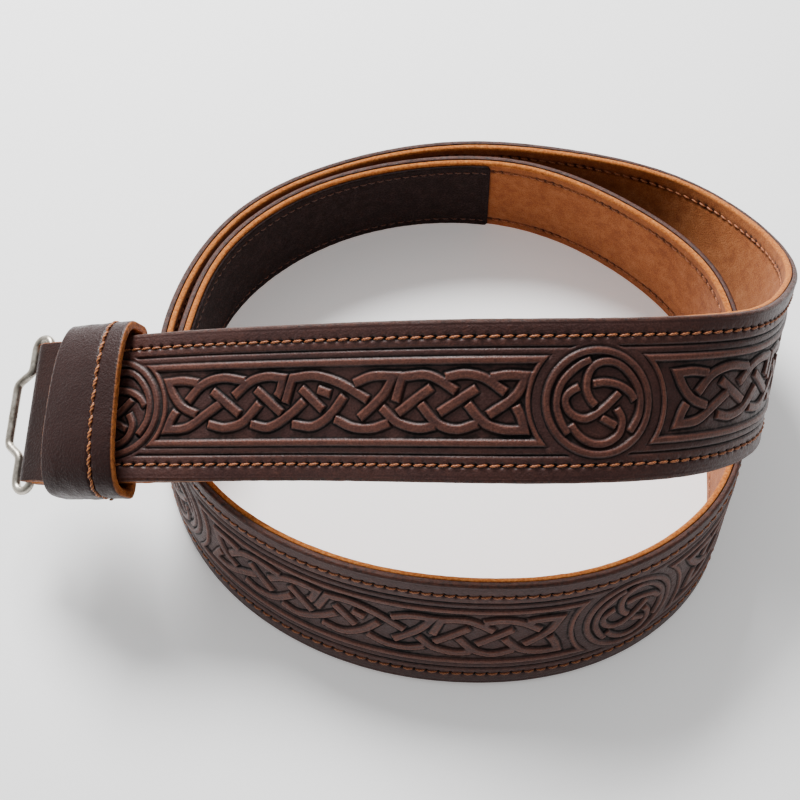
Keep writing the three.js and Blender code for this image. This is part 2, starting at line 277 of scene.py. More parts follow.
class Route:
    """The strap's middle line by length, with its along, across and inward directions."""

    def __init__(self):
        table = np.array(ROUTE, float)
        lean = np.radians(table[:, 3])
        rise = HALF_WIDTH * np.cos(lean) + HALF_THICKNESS * np.abs(np.sin(lean))
        self.rows = np.c_[table[:, :2] * COIL_RADIUS, table[:, 2] * STRAP_WIDTH + rise, lean]
        self.knots = lengths_along(self.rows[:, :3])
        self.bends = natural_bends(self.knots, self.rows)
        self.dense = np.linspace(0, self.knots[-1], 2001)
        self.lengths = lengths_along(self.spline(self.dense)[0][:, :3])
        self.length = self.lengths[-1]

    def spline(self, t):
        """Values and slopes of the natural cubic through the rows."""
        i = np.clip(np.searchsorted(self.knots, t) - 1, 0, len(self.knots) - 2)
        span = (self.knots[i + 1] - self.knots[i])[:, None]
        a = (self.knots[i + 1] - t)[:, None] / span
        b = 1 - a
        low, high = self.bends[i], self.bends[i + 1]
        before, after = self.rows[i], self.rows[i + 1]
        value = a * before + b * after + ((a**3 - a) * low + (b**3 - b) * high) * span**2 / 6
        slope = (after - before) / span + ((3 * b**2 - 1) * high - (3 * a**2 - 1) * low) * span / 6
        return value, slope

    def place(self, s):
        """Point, along, across and inward at lengths s, as arrays of rows. It runs straight past the ends."""
        s = np.atleast_1d(np.asarray(s, float))
        held = np.clip(s, 0, self.length)
        value, slope = self.spline(np.interp(held, self.lengths, self.dense))
        along = slope[:, :3] / np.linalg.norm(slope[:, :3], axis=1)[:, None]
        upright = np.array([0, 0, 1.0]) - along * along[:, 2:3]
        upright /= np.linalg.norm(upright, axis=1)[:, None]
        side = np.cross(along, upright)
        lean = value[:, 3:4]
        across = upright * np.cos(lean) - side * np.sin(lean)
        inward = np.cross(across, along)
        point = value[:, :3] + along * (s - held)[:, None]
        return point, along, across, inward

    def points(self, s, height, depth):
        """Points by length, height across and depth behind the middle. The three arrays have one shape."""
        s, height, depth = np.broadcast_arrays(s, height, depth)
        point, _, across, inward = self.place(s.ravel())
        found = point + across * height.ravel()[:, None] + inward * depth.ravel()[:, None]
        return found.reshape(s.shape + (3,))


route = Route()
STITCH_END = route.length - STITCH_END_ROOM
PATCH_END = route.length - PATCH_END_ROOM
PATCH_START = PATCH_END - PATCH_LENGTH


def make_piece(name, points, faces, material, body, replaces=(), attributes=None):
    """A smooth mesh piece from points in millimetres. attributes are numbers for each point."""
    points = (np.asarray(points).reshape(-1, 3) + BELT_SHIFT) * MM
    mesh = bpy.data.meshes.new(name)
    mesh.vertices.add(len(points))
    mesh.vertices.foreach_set("co", points.ravel())
    sizes = np.array([len(face) for face in faces])
    flat = np.concatenate([np.asarray(face) for face in faces])
    mesh.loops.add(len(flat))
    mesh.loops.foreach_set("vertex_index", flat.astype(np.int32))
    mesh.polygons.add(len(sizes))
    mesh.polygons.foreach_set("loop_start", np.r_[0, np.cumsum(sizes)[:-1]].astype(np.int32))
    mesh.polygons.foreach_set("use_smooth", sizes <= 4)
    mesh.materials.append(material)
    for key, values in (attributes or {}).items():
        layer = mesh.attributes.new(key, "FLOAT", "POINT")
        layer.data.foreach_set("value", np.asarray(values, np.float32).ravel())
    mesh.update(calc_edges=True)
    mesh.validate()
    piece = bpy.data.objects.new(name, mesh)
    bpy.context.scene.collection.objects.link(piece)
    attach(piece, body)
    if replaces:
        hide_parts(*replaces)
    return piece


def tube_faces(rings, sides, closed=False, caps=(True, True)):
    """Faces of a tube of rings with sides points each. An open tube gets the caps asked for."""
    last = rings if closed else rings - 1
    i, j = np.meshgrid(np.arange(last), np.arange(sides), indexing="ij")
    step = (j + 1) % sides
    here, ahead = i * sides, ((i + 1) % rings) * sides
    quads = np.stack([here + j, here + step, ahead + step, ahead + j], axis=-1).reshape(-1, 4)
    faces = [list(q) for q in quads]
    if not closed and caps[0]:
        faces.append(list(range(sides))[::-1])
    if not closed and caps[1]:
        faces.append(list(range((rings - 1) * sides, rings * sides)))
    return faces


def smooth(x):
    """A soft step from 0 to 1 as x goes from 0 to 1."""
    x = np.clip(x, 0, 1)
    return x * x * (3 - 2 * x)


def bump(x, width):
    """A soft hill of height 1 at x = 0."""
    return np.exp(-(x / width) ** 2)


def value_noise(x, y, seed):
    """Smooth noise from -1 to 1 at points x, y, counted in cells."""
    grid = np.random.default_rng(seed).uniform(-1, 1, (NOISE_CELLS, NOISE_CELLS))
    column, row = np.floor(x).astype(int), np.floor(y).astype(int)
    fx, fy = smooth(x - column), smooth(y - row)
    left, right = column % NOISE_CELLS, (column + 1) % NOISE_CELLS
    low, high = row % NOISE_CELLS, (row + 1) % NOISE_CELLS
    below = grid[left, low] * (1 - fx) + grid[right, low] * fx
    above = grid[left, high] * (1 - fx) + grid[right, high] * fx
    return below * (1 - fy) + above * fy


def uneven(x, y, layers):
    """Layers of smooth noise at points x, y. A layer is its height, the size of its cells and its seed."""
    return sum(height * value_noise(x / cell, y / cell, seed) for height, cell, seed in layers)


def spread(lengths, section):
    """Grids of length, height and depth, for a section of (height, depth) points at each length."""
    S, Y = np.meshgrid(lengths, section[:, 0], indexing="ij")
    return S, Y, np.broadcast_to(section[:, 1], S.shape)


def rounded(points, samples=7):
    """A smooth line through the points of one arc."""
    points = np.array(points, float)
    if len(points) == 2:
        return points
    padded = np.vstack([2 * points[0] - points[1], points, 2 * points[-1] - points[-2]])
    line = []
    for i in range(len(points) - 1):
        p0, p1, p2, p3 = padded[i:i + 4]
        for t in np.arange(samples) / samples:
            line.append(0.5 * (2 * p1 + (p2 - p0) * t + (2 * p0 - 5 * p1 + 4 * p2 - p3) * t**2
                               + (3 * p1 - p0 - 3 * p2 + p3) * t**3))
    line.append(points[-1])
    return np.array(line)


def line_distance(line, x, y):
    """Distance from points to a line of segments, and the segment share where each is nearest."""
    nearest = np.full(x.shape, 1e9)
    place = np.zeros(x.shape)
    for i, ((x0, y0), (x1, y1)) in enumerate(zip(line, line[1:])):
        dx, dy = x1 - x0, y1 - y0
        share = np.clip(((x - x0) * dx + (y - y0) * dy) / max(dx * dx + dy * dy, 1e-9), 0, 1)
        away = (x - x0 - share * dx) ** 2 + (y - y0 - share * dy) ** 2
        closer = away < nearest
        nearest = np.where(closer, away, nearest)
        place = np.where(closer, i + share, place)
    return np.sqrt(nearest), place


def past_end(end, before, x, y):
    """How far points lie past the end of a line, and how far aside from it."""
    heading = np.array(end) - before
    heading /= np.linalg.norm(heading)
    forth = (x - end[0]) * heading[0] + (y - end[1]) * heading[1]
    aside = np.abs(-(x - end[0]) * heading[1] + (y - end[1]) * heading[0])
    return forth, aside


def ribbon_distance(lines, width, x, y):
    """Distance to a ribbon's edge, negative inside, for one line or two that meet in a mitred corner."""
    found = [line_distance(line, x, y) for line in lines]
    first, last = lines[0], lines[-1]
    away = np.minimum(found[0][0], found[-1][0])
    if len(lines) == 2:
        at_corner = (found[0][1] >= len(first) - 1 - 1e-6) & (found[1][1] <= 1e-6)
        aside = [past_end(first[-1], first[-2], x, y)[1], past_end(last[0], last[1], x, y)[1]]
        away = np.where(at_corner, np.maximum(aside[0], aside[1]), away)
    signed = away - width / 2
    use_first = found[0][0] <= found[-1][0] if len(lines) == 2 else True
    use_last = ~use_first if len(lines) == 2 else True
    forth, aside = past_end(first[0], first[1], x, y)
    at_start = (found[0][1] <= 1e-6) & use_first
    signed = np.where(at_start, np.maximum(aside - width / 2, forth - RIBBON_TAIL), signed)
    forth, aside = past_end(last[-1], last[-2], x, y)
    at_end = (found[-1][1] >= len(last) - 1 - 1e-6) & use_last
    return np.where(at_end, np.maximum(aside - width / 2, forth - RIBBON_TAIL), signed)


def ribbons():
    """Every ribbon on the face: its lines, in length along the strap and height across it, and its width."""
    found = []
    for middle in ROUNDELS:
        for arcs in ROUNDEL_LOOPS:
            placed = [[(middle + x, ROUNDEL_DROP + y) for x, y in arc] for arc in arcs]
            found.append(([rounded(arc) for arc in placed], LOOP_WIDTH))
    panel_start, panel_end = FIRST_PANEL_ENDS
    for number, middle in enumerate(ROUNDELS[:-1]):
        first, last = FIRST_PANEL_ENDS if number == 0 else LATER_PANEL_ENDS
        stretch = (last - first) / (panel_end - panel_start)
        for arcs in PANEL:
            placed = [[(middle + first + (x - panel_start) * stretch, y) for x, y in arc] for arc in arcs]
            found.append(([rounded(arc) for arc in placed], RIBBON_WIDTH))
    return found


RIBBONS = ribbons()


def stitch_holes(s, y, depth, start, end):
    """Dents where the thread goes into the leather, one at each end of each stitch."""
    phase = np.mod(s - start, STITCH_PITCH)
    off = np.minimum(phase, STITCH_PITCH - phase)
    row = np.abs(y) - STITCH_OFFSET
    inside = (s > start - 1) & (s < end)
    return -depth * bump(off, HOLE_LENGTH) * bump(row - HOLE_SHIFT * np.sign(y), HOLE_HEIGHT) * inside


def face_relief(s, y):
    """Height of the face above its plain surface at a grid of lengths s and heights y."""
    S, Y = np.meshgrid(s, y, indexing="ij")
    off = np.abs(Y)
    middles = np.array(ROUNDELS)
    nearest = np.argmin(np.abs(S[..., None] - middles), axis=-1)
    radius = np.hypot(S - middles[nearest], Y - ROUNDEL_DROP)
    ends = (np.array(FRAME_RADII)[nearest] - radius) * RIB_WIDTH / FRAME_END_WIDTH
    field = np.maximum(off - RIB_OFFSET, ends)
    height = -FIELD_DEPTH * smooth((-field - RIB_WIDTH / 2) / FIELD_SLOPE)
    height -= FIELD_DEPTH * smooth((RING_RADIUS - RING_WIDTH / 2 - radius) / FIELD_SLOPE)

    moat = np.full(S.shape, 9.0)
    top = np.zeros(S.shape)
    for lines, width in RIBBONS:
        both = np.vstack(lines)
        reach = width / 2 + 2.5
        rows = np.nonzero((s > both[:, 0].min() - reach) & (s < both[:, 0].max() + reach))[0]
        cols = np.nonzero((y > both[:, 1].min() - reach) & (y < both[:, 1].max() + reach))[0]
        if len(rows) == 0 or len(cols) == 0:
            continue
        part = np.ix_(rows, cols)
        away = ribbon_distance(lines, width, S[part], Y[part])
        top[part] = np.maximum(top[part], smooth(-away / RIBBON_BEVEL))
        moat[part] = np.minimum(moat[part], np.abs(away - RIBBON_MOAT[1]))
    height -= RIBBON_MOAT[0] * bump(moat, MOAT_WIDTH) * (1 - top)
    height = height * (1 - top) + (RIBBON_HEIGHT - FIELD_DEPTH) * top

    rib = smooth((RIB_WIDTH / 2 - np.abs(field)) / RIB_SLOPE)
    height = height * (1 - rib) + RIB_HEIGHT * rib
    height -= RIB_MOAT[0] * bump(np.abs(field) - RIB_WIDTH / 2 - RIB_MOAT[1], MOAT_WIDTH)
    from_ring = np.abs(radius - RING_RADIUS)
    ring = smooth((RING_WIDTH / 2 - from_ring) / RIB_SLOPE)
    height = height * (1 - ring) + RIB_HEIGHT * ring
    height -= RING_MOAT[0] * bump(from_ring - RING_WIDTH / 2 - RING_MOAT[1], MOAT_WIDTH)

    outside = smooth((radius - RING_RADIUS - RING_WIDTH / 2 - 1.2) / 0.6)
    height -= GROOVE_DEPTH * bump(off - GROOVE_OFFSET, GROOVE_WIDTH) * outside
    height -= CREASE_DEPTH * bump(off - CREASE_OFFSET, CREASE_WIDTH)
    height -= GUTTER_DEPTH * smooth((GUTTER_REACH - np.abs(off - STITCH_OFFSET)) / 0.8)
    height += uneven(S, Y, FACE_GRAIN)
    return height + stitch_holes(S, Y, FACE_HOLE, FACE_START, STITCH_END)


def blurred(grid, reach):
    """grid averaged over 2 * reach + 1 cells each way."""
    for axis in (0, 1):
        padded = np.pad(grid, [(reach, reach) if a == axis else (0, 0) for a in (0, 1)], mode="edge")
        total = 0
        for k in range(2 * reach + 1):
            total = total + np.take(padded, np.arange(k, k + grid.shape[axis]), axis=axis)
        grid = total / (2 * reach + 1)
    return grid


def corner(y, depth, radius, turns, y_sign, depth_sign):
    """Points round one rounded corner of a ply's section, for turns from 0 (broad side) to 90 (edge)."""
    turns = np.radians(turns)
    ys = y - y_sign * radius * (1 - np.sin(turns))
    depths = depth - depth_sign * radius * (1 - np.cos(turns))
    return list(zip(ys, depths))


def face_section(band_step):
    """The face ply's section: the columns of its carved side, then the rest as (height, depth) points."""
    outer = -HALF_THICKNESS
    inner = outer + PLY
    band = np.linspace(-BAND_REACH, BAND_REACH, int(round(2 * BAND_REACH / band_step)) + 1)
    border = np.arange(BORDER_START, HALF_WIDTH - BORDER_MARGIN, max(band_step, BORDER_STEP))
    carved = np.r_[-border[::-1], band, border]
    turns = [12, 32, 55, 78, 90]
    rest = corner(HALF_WIDTH, outer, FACE_EDGE_RADIUS, turns, 1, -1)
    rest += corner(HALF_WIDTH, inner, FACE_BACK_RADIUS, [90, 45, 0], 1, 1)
    rest += [(y, inner) for y in np.linspace(BACK_REACH, -BACK_REACH, 7)]
    rest += corner(-HALF_WIDTH, inner, FACE_BACK_RADIUS, [0, 45, 90], -1, 1)
    rest += corner(-HALF_WIDTH, outer, FACE_EDGE_RADIUS, turns[::-1], -1, -1)
    return carved, np.array(rest)


def face_piece(name, start, end, step, band_step, caps):
    """One length of the face ply. Its relief is real height, and the steps are its mesh's."""
    carved, rest = face_section(band_step)
    count = int(round((end - start) / step)) + 1
    pad = int(math.ceil(WEAR_AND_SHADE_MARGIN / step)) + 1
    spacing = (end - start) / (count - 1)
    s = start + spacing * np.arange(-pad, count + pad)
    height = face_relief(s, carved)
    near, wide = (max(1, int(round(reach / spacing))) for reach in WEAR_AND_SHADE_REACHES)
    # Relief tone: lighter wear where the relief stands up, painted shade where it sinks into grooves, moats
    # and stitch holes
    relief_tone = WEAR_AND_SHADE_SHARES[0] * (height - blurred(height, near))
    relief_tone += WEAR_AND_SHADE_SHARES[1] * (height - blurred(height, wide))
    relief_tone, height, s = relief_tone[pad:-pad], height[pad:-pad], s[pad:-pad]

    flat = np.c_[carved, np.full(len(carved), -HALF_THICKNESS)]
    S, Y, D = spread(s, np.vstack([flat, rest]))
    plain = np.zeros((count, len(rest)))
    D = D - np.hstack([height, plain])
    at_edge = np.r_[np.zeros(len(carved)), np.abs(rest[:, 0]) > HALF_WIDTH - 1.0]
    edge = np.repeat(at_edge[None], count, axis=0)
    wobble = value_noise(S / 3.1, D * 2 + Y, 11)
    Y = Y + edge * np.sign(Y) * 0.08 * (wobble - 1)
    points = route.points(S, Y, D)
    return make_piece(name, points, tube_faces(count, points.shape[1], caps=caps), FACE_LEATHER, "belt",
                      ["strap_face"], {"relief": np.hstack([relief_tone, plain]), "edge": edge})


def lining_piece():
    """The suede ply: soft rounded edges and a lightly uneven nap."""
    outer, inner = -HALF_THICKNESS + PLY + PLY_GAP, HALF_THICKNESS
    section = [(y, outer) for y in np.linspace(BACK_REACH, -BACK_REACH, 7)]
    section += corner(-HALF_WIDTH, outer, LINING_BACK_RADIUS, [0, 45, 90], -1, -1)
    section += corner(-HALF_WIDTH, inner, LINING_EDGE_RADIUS, [90, 74, 52, 30, 12], -1, 1)
    start_nap = len(section)
    section += [(y, inner) for y in np.linspace(-NAP_REACH, NAP_REACH, 45)]
    end_nap = len(section)
    section += corner(HALF_WIDTH, inner, LINING_EDGE_RADIUS, [12, 30, 52, 74, 90], 1, 1)
    section += corner(HALF_WIDTH, outer, LINING_BACK_RADIUS, [90, 45, 0], 1, -1)
    count = int((route.length - LINING_START) / LINING_STEP)
    S, Y, D = spread(np.linspace(LINING_START, route.length, count), np.array(section))
    nap = np.zeros(S.shape)
    nap[:, start_nap:end_nap] = 1
    dents = -LINING_GUTTER_DEPTH * smooth((1.2 - np.abs(np.abs(Y) - STITCH_OFFSET)) / 0.9)
    dents += stitch_holes(S, Y, LINING_HOLE, FACE_START, STITCH_END)
    D = D + nap * (uneven(S, Y, SUEDE_NAP) - 0.05 + dents)
    edge = (np.abs(Y) > HALF_WIDTH - 1.3).astype(float)
    Y = Y + edge * np.sign(Y) * (0.12 * value_noise(S / 2.3, D * 3, 23) - 0.12)
    # The dents' depth also sets painted shade on the suede
    return make_piece("lining", route.points(S, Y, D), tube_faces(count, len(section)), SUEDE, "belt",
                      ["strap_lining"], {"relief": nap * dents, "edge": edge})


def thread_template(length, radius, dive, rings=8, sides=8, twist=2.1):
    """One stitch of two twisted strands along x, arched so that its ends go into the leather."""
    x = np.linspace(-0.5, 0.5, rings)
    body = np.sqrt(np.clip(1 - (2 * np.abs(x)) ** 6, 0.02, 1)) * (0.86 + 0.14 * np.cos(2 * np.pi * x))
    arch = -dive * (2 * np.abs(x)) ** 3
    turn = 2 * np.pi * np.arange(sides) / sides
    twisting = np.cos(2 * (turn[None] - twist * 2 * np.pi * x[:, None]))
    reach = body[:, None] * (1 + 0.16 * twisting) * radius
    points = np.zeros((rings, sides, 3))
    points[..., 0] = (x * length)[:, None]
    points[..., 1] = reach * np.cos(turn)
    points[..., 2] = arch[:, None] + reach * np.sin(turn)
    return points, tube_faces(rings, sides), twisting


def lay_stitches(name, places, template, material):
    """places are (origin, along, across, outward) arrays. Each stitch is the template laid there."""
    points, faces, twisting = template
    origin, along, across, outward = places
    rings, sides, _ = points.shape
    laid = origin[:, None, None]
    for direction, part in zip((along, across, outward), np.moveaxis(points, -1, 0)):
        laid = laid + direction[:, None, None] * part[None, ..., None]
    each = rings * sides
    every = [[vertex + number * each for vertex in face] for number in range(len(origin)) for face in faces]
    # The twist sets painted shade between the strands and a painted highlight on their crowns
    shade = np.repeat(twisting[None], len(origin), 0)
    return make_piece(name, laid, every, material, "belt", attributes={"relief": shade})


def strap_stitches(name, depth, outward_sign, start, end, material, seed):
    """Both stitch rows on one side of the strap."""
    rng = np.random.default_rng(seed)
    s = np.arange(start + STITCH_PITCH / 2, end, STITCH_PITCH)
    where, along, across, inward = route.place(s)
    groups = []
    for row in (-1, 1):
        slant = np.radians(STITCH_SLANT + rng.normal(0, SLANT_SPREAD, len(s)))[:, None]
        offset = (row * STITCH_OFFSET + rng.normal(0, ROW_SPREAD, len(s)))[:, None]
        origin = where + across * offset + inward * depth
        tilted = along * np.cos(slant) + across * np.sin(slant)
        side = across * np.cos(slant) - along * np.sin(slant)
        groups.append((origin, tilted, -side * outward_sign, inward * outward_sign))
    places = [np.concatenate(column) for column in zip(*groups)]
    return lay_stitches(name, places, thread_template(length=4.2, radius=0.44, dive=0.7), material)


def evenly(line, count):
    """count points at even steps round a closed line."""
    closed = np.vstack([line, line[:1]])
    run = lengths_along(closed)
    even = np.linspace(0, run[-1], count, endpoint=False)
    return np.c_[np.interp(even, run, closed[:, 0]), np.interp(even, run, closed[:, 1])]


def keeper_oval(wall, count):
    """Points round the keeper as (depth, height), at a wall's thickness outside its hollow."""
    turn = 2 * np.pi * (np.arange(OVAL_SAMPLES) + 0.5) / OVAL_SAMPLES
    in_front = np.cos(turn) < 0
    power = np.where(in_front, 2 / KEEPER_FRONT_POWER, 2 / KEEPER_BACK_POWER)
    reach = np.where(in_front, KEEPER_FRONT + wall, KEEPER_BACK + wall)
    depth = np.sign(np.cos(turn)) * np.abs(np.cos(turn)) ** power * reach
    height = np.sign(np.sin(turn)) * np.abs(np.sin(turn)) ** power * (KEEPER_HALF_HEIGHT + wall)
    return evenly(np.c_[depth, height], count)


def keeper_columns():
    """Columns once round the keeper's wall as (length, depth as a share of the wall, rawness)."""
    near, far = KEEPER_RIM, KEEPER_LENGTH - KEEPER_RIM
    rim = [(KEEPER_RIM * np.sin(turn), KEEPER_RIM_DEPTH * (1 - np.cos(turn)) / KEEPER_WALL, raw)
           for turn, raw in zip(np.radians([25, 55, 90]), (0, 1, 1))]
    columns = [(s, 0.0, 0) for s in np.linspace(near, far, 60)]
    columns += [(far + reach, cut, raw) for reach, cut, raw in rim]
    columns += [(KEEPER_LENGTH, cut, 1) for cut in (0.45, 0.6, 0.75)]
    columns += [(KEEPER_LENGTH - 0.15, 0.93, 1), (KEEPER_LENGTH - 0.6, 1.0, 1)]
    columns += [(s, 1.0, 0.4) for s in np.linspace(KEEPER_LENGTH - 4, 4, 8)]
    columns += [(0.6, 1.0, 1), (0.15, 0.93, 1)]
    columns += [(0, cut, 1) for cut in (0.75, 0.6, 0.45)]
    columns += [(near - reach, cut, raw) for reach, cut, raw in rim[::-1]]
    return np.array(columns, float)


def keeper_piece():
    """The keeper: outside, rounded rims, inside and rims again make one closed ring of columns."""
    outer = keeper_oval(KEEPER_WALL, KEEPER_ROUND)
    inner = keeper_oval(0, KEEPER_ROUND)
    columns = keeper_columns()
    count = len(columns)
    S, cut, raw = (np.repeat(column[:, None], KEEPER_ROUND, 1) for column in columns.T)
    section_depth = outer[:, 0] * (1 - cut) + inner[:, 0] * cut
    section_height = outer[:, 1] * (1 - cut) + inner[:, 1] * cut
    ring = np.repeat(np.arange(KEEPER_ROUND)[None] * 0.9, count, 0)
    skin = uneven(S, ring, KEEPER_SKIN)
    gutter = -0.25 * smooth((1.3 - np.abs(S - (KEEPER_LENGTH - KEEPER_STITCH_INSET))) / 0.9)
    outside = (cut < 0.01) * 1.0
    lift = 1 + (skin + gutter) * outside / KEEPER_FRONT
    outward = (raw > 0.9) * np.where(S > KEEPER_LENGTH / 2, 1, -1)
    rough = 0.1 * value_noise(S * 2 + cut * 7, ring / 1.1, 33) - 0.1
    points = route.points(KEEPER_START + S + rough * outward, section_height * lift, section_depth * lift)
    # The relief tone darkens the stitch gutter with painted shade; the skin's grain varies it at random
    return make_piece("keeper_leather", points, tube_faces(count, KEEPER_ROUND, closed=True), KEEPER_LEATHER,
                      "belt", ["keeper"],
                      {"relief": (skin * 1.2 + gutter) * outside, "edge": raw})


def keeper_stitches():
    """The row of thread that runs round the keeper beside its far rim."""
    line = keeper_oval(KEEPER_WALL, KEEPER_FINE_ROUND)
    heading = np.roll(line, -1, axis=0) - line
    run = lengths_along(np.vstack([line, line[:1]]))
    count = int(run[-1] / KEEPER_STITCH_PITCH)
    picks = np.searchsorted(run, run[-1] * (np.arange(count) + 0.5) / count) % KEEPER_FINE_ROUND
    station = KEEPER_START + KEEPER_LENGTH - KEEPER_STITCH_INSET
    where, along, across, inward = (part[0] for part in route.place(station))
    slant = math.radians(KEEPER_STITCH_SLANT)
    stitches = []
    for pick in picks:
        depth, height = line[pick]
        step = heading[pick] / np.linalg.norm(heading[pick])
        forward = inward * step[0] + across * step[1]
        out = np.cross(forward, along)
        if np.dot(out, inward * depth + across * height) < 0:
            out = -out
        tilted = forward * math.cos(slant) + along * math.sin(slant)
        origin = where + inward * depth + across * height - out * KEEPER_STITCH_SINK
        stitches.append((origin, tilted, np.cross(out, tilted), out))
    places = [np.array(column) for column in zip(*stitches)]
    template = thread_template(length=5.3, radius=0.62, dive=0.6, rings=18, sides=10, twist=1.6)
    return lay_stitches("keeper_thread", places, template, THREAD)


def fold_line():
    """The fold's middle line in length and depth: the front flap, round the bar, and the tail behind."""
    back = BAR_DEPTH + FOLD_RADIUS
    tail = HALF_THICKNESS + FOLD_CLEARANCE + FOLD_THICKNESS / 2
    line = [(s, BAR_DEPTH - FOLD_RADIUS) for s in np.linspace(FOLD_SEAM, BAR_STATION, FLAP_POINTS)]
    for turn in np.radians(np.linspace(-97, -270, 26)):
        line.append((BAR_STATION + FOLD_RADIUS * math.cos(turn), BAR_DEPTH + FOLD_RADIUS * math.sin(turn)))
    line += [(BAR_STATION + 9 * share, back + (tail - back) * share) for share in np.linspace(0.1, 1, 10)]
    line += [(s, tail) for s in np.linspace(BAR_STATION + 10.5, FOLD_TAIL, 30)]
    return np.array(line)


def fold_section():
    """The fold's section as (height, distance out from its middle line, edge), round from the outside."""
    half, skin = FOLD_WIDTH / 2, FOLD_THICKNESS / 2
    shoulder = half - FOLD_EDGE_RADIUS
    rim = [(FOLD_EDGE_RADIUS * math.sin(turn), skin - FOLD_EDGE_DEPTH * (1 - math.cos(turn)), edge)
           for turn, edge in zip(np.radians([25, 50, 75, 90]), (0, 1, 1, 1))]
    section = [(y, skin, 0) for y in np.linspace(-shoulder, shoulder, 62)]
    section += [(shoulder + reach, out, edge) for reach, out, edge in rim]
    section += [(half, -skin + 0.5, 1), (half - 0.15, -skin + 0.12, 1), (half - 0.6, -skin, 0)]
    section += [(y, -skin, 0) for y in np.linspace(half - 4, -half + 4, 9)]
    section += [(-half + 0.6, -skin, 0), (-half + 0.15, -skin + 0.12, 1), (-half, -skin + 0.5, 1)]
    section += [(-shoulder - reach, out, edge) for reach, out, edge in rim[::-1]]
    return np.array(section, float)


def fold_piece():
    """The folded end, narrowed, wrinkled and creased where it bends round the bar."""
    line, section = fold_line(), fold_section()
    heading = np.gradient(line, axis=0)
    heading /= np.linalg.norm(heading, axis=1)[:, None]
    run = lengths_along(line)
    R, Y, out = spread(run, section)
    past = R - run[FLAP_POINTS]
    bend = bump(past - 3, 6)
    Y = Y * (1 - 0.06 * bump(past - 4.8, 3.0)) + 0.15 * value_noise(R / 3, Y / 20, 43)
    wrinkle = 0.24 * value_noise(R / 2.6, Y / 9, 41) + 0.1 * value_noise(R / 1.1, Y / 3, 42)
    crease = sum(-FOLD_CREASE_DEPTH * bump(Y - place + 0.35 * past, 0.6) for place in FOLD_CREASES)
    outside = section[:, 1] > FOLD_THICKNESS / 2 - 0.05
    lift = (wrinkle * (0.4 + 1.2 * bend) + crease * bend) * outside
    # Painted shade over the roll round the bar, and painted light and shade on the wrinkles and creases
    shade = 1.5 * lift - 0.3 * bend * outside
    S = line[:, 0:1] + heading[:, 1:2] * (out + lift)
    D = line[:, 1:2] - heading[:, 0:1] * (out + lift)
    edge = np.repeat(section[None, :, 2], len(line), 0)
    faces = tube_faces(len(line), len(section))
    return make_piece("fold_leather", route.points(S, Y, D), faces, FOLD_LEATHER, "belt",
                      ["end_fold"], {"relief": shade, "edge": edge})


def wire_line():
    """The wire's closed middle line in the plane of its bar: x along the strap, y across it."""
    near = -(BAR_STATION + BAR_RADIUS + LOOP_GAP)
    far = near - LOOP_STEP_OUT
    radius = -near / 2
    straight = FOLD_WIDTH / 2 + LOOP_OVERHANG - radius

    def bend(middle, first, last):
        """Points round one end of the loop, between two angles."""
        turns = np.radians(np.arange(first, last + 1, 10))
        return [(near / 2 + radius * math.cos(turn), middle + radius * math.sin(turn)) for turn in turns]

    line = [(0, -straight), (0, straight)] + bend(straight, 10, 170)
    line += [(near, straight), (near, LOOP_STEP_OUTER), (far, LOOP_STEP_INNER)]
    line += [(far, -LOOP_STEP_INNER), (near, -LOOP_STEP_OUTER), (near, -straight)]
    return np.array(line + bend(-straight, 190, 350), float)


def wire_piece():
    """The bent wire of the hook loop, round in section and slightly uneven."""
    line = evenly(wire_line(), LOOP_POINTS)
    for _ in range(LOOP_SOFTENING):
        line = (np.roll(line, 1, axis=0) + 2 * line + np.roll(line, -1, axis=0)) / 4
    heading = np.roll(line, -1, axis=0) - np.roll(line, 1, axis=0)
    heading /= np.linalg.norm(heading, axis=1)[:, None]
    normal = np.c_[heading[:, 1], -heading[:, 0]]
    around = 2 * np.pi * np.arange(LOOP_SIDES) / LOOP_SIDES
    place, turn = np.meshgrid(np.arange(LOOP_POINTS) * 0.5, around * 3, indexing="ij")
    radius = BAR_RADIUS * (1 + 0.012 * value_noise(place, turn, 51))
    flat = line[:, None] + normal[:, None] * (radius * np.cos(around))[..., None]
    height = (radius * np.sin(around))[..., None]
    where, along, across, inward = (part[0] for part in route.place(BAR_STATION))
    middle = where + inward * BAR_DEPTH
    points = middle + along * flat[..., 0:1] + across * flat[..., 1:2] - inward * height
    faces = tube_faces(LOOP_POINTS, LOOP_SIDES, closed=True)
    return make_piece("hook_wire", points, faces, NICKEL, "hook_loop", ["hook_loop"])


def patch_piece():
    """The dark looped patch on the lining at the tip."""
    reach = HALF_WIDTH - PATCH_SIDE_ROOM
    s = np.linspace(0, PATCH_LENGTH, 210)
    from_end = np.minimum(s, PATCH_LENGTH - s)
    inset = PATCH_CORNER * (1 - np.sqrt(np.clip(1 - (1 - np.minimum(from_end / PATCH_CORNER, 1)) ** 2, 0, 1)))
    back = HALF_THICKNESS + PATCH_GAP
    front = back + PATCH_THICKNESS
    section = [(share, back, 0) for share in np.linspace(0.97, -0.97, 6)]
    section += [(-1, back + 0.15, 0), (-1, front - 0.45, 0)]
    section += [(share * 0.985, front, 1) for share in np.linspace(-1, 1, 60)]
    section += [(1, front - 0.45, 0), (1, back + 0.15, 0)]
    section = np.array(section)
    S, share, D = spread(PATCH_START + s, section)
    Y = share * (reach - inset)[:, None]
    pile = uneven(S, Y, PATCH_PILE)
    border = np.minimum(reach - np.abs(Y), from_end[:, None])
    seam = -PATCH_SEAM_DEPTH * bump(border - PATCH_SEAM_INSET, 0.8)
    top = section[:, 2]
    D = D + top * (pile - 0.1 + seam)
    return make_piece("patch_cloth", route.points(S, Y, D), tube_faces(len(s), len(section)), PATCH_CLOTH,
                      "belt", ["tip_patch"], {"relief": top * (pile + seam)})


